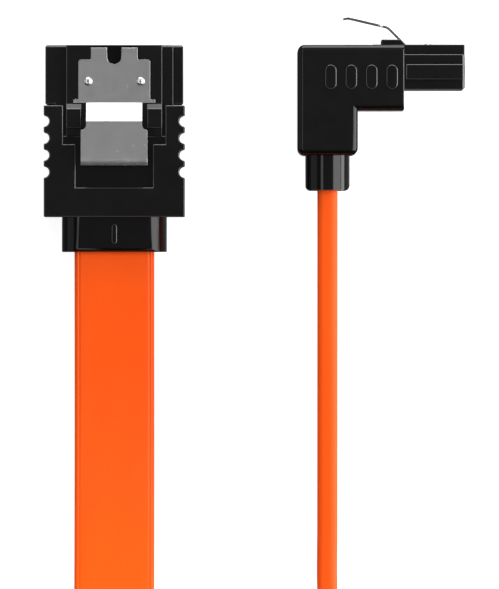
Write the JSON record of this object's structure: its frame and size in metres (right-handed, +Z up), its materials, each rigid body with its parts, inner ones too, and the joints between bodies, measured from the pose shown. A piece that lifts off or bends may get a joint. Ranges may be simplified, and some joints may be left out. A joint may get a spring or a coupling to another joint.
{
  "type": "sata data cable",
  "caption": "Flat data cable with a straight plug at one end and a right-angle plug at the other, each with an L-shaped keyed slot and a sprung steel latch.",
  "frame": {"origin": "on the table, under the middle of the box around the two plugs", "axes": "+X from the straight plug to the right-angle plug, which is also the way its nose points; +Y the way the straight plug's nose points; +Z up from the table"},
  "size_m": [0.081, 0.1522, 0.0144],
  "materials": {
    "black_shell": "satin moulded black",
    "black_gloss": "smooth moulded black",
    "latch_steel": "smooth spring steel",
    "contact_gilt": "gold plated",
    "cable_orange": "soft satin jacket",
    "core_insulation": "smooth insulation",
    "drain_tinned": "tinned wire",
    "tie_strap": "woven strap"
  },
  "bodies": {
    "root": {"straight_insulator": "black_shell", "straight_contact_1": "contact_gilt", "straight_drain_wire_1": "drain_tinned", "straight_contact_2": "contact_gilt", "straight_core_wire_2": "core_insulation", "straight_contact_3": "contact_gilt", "straight_core_wire_3": "core_insulation", "straight_contact_4": "contact_gilt", "straight_drain_wire_4": "drain_tinned", "straight_contact_5": "contact_gilt", "straight_core_wire_5": "core_insulation", "straight_contact_6": "contact_gilt", "straight_core_wire_6": "core_insulation", "straight_contact_7": "contact_gilt", "straight_drain_wire_7": "drain_tinned", "angled_insulator": "black_shell", "angled_contact_1": "contact_gilt", "angled_drain_wire_1": "drain_tinned", "angled_contact_2": "contact_gilt", "angled_core_wire_2": "core_insulation", "angled_contact_3": "contact_gilt", "angled_core_wire_3": "core_insulation", "angled_contact_4": "contact_gilt", "angled_drain_wire_4": "drain_tinned", "angled_contact_5": "contact_gilt", "angled_core_wire_5": "core_insulation", "angled_contact_6": "contact_gilt", "angled_core_wire_6": "core_insulation", "angled_contact_7": "contact_gilt", "angled_drain_wire_7": "drain_tinned", "straight_grip": "black_shell", "straight_inner_mould": "black_gloss", "angled_elbow_grip": "black_shell", "angled_inner_mould": "black_gloss", "cable_straight_run": "cable_orange", "cable_angled_run": "cable_orange", "cable_coil": "cable_orange", "coil_tie": "tie_strap"},
    "straight_latch": {"straight_latch": "latch_steel"},
    "angled_latch": {"angled_latch": "latch_steel"}
  },
  "joints": [
    {"name": "straight_latch_press", "type": "hinge", "parent": "root", "child": "straight_latch", "pos_m": [-0.01395, 0.00875, 0.00592], "axis": [1, 0, 0], "range_deg": [0, 6], "stiffness_Nm_per_rad": 0.2},
    {"name": "angled_latch_press", "type": "hinge", "parent": "root", "child": "angled_latch", "pos_m": [0.02075, 0.00887, 0.0072], "axis": [0, 0, 1], "range_deg": [0, 6], "stiffness_Nm_per_rad": 0.2}
  ]
}
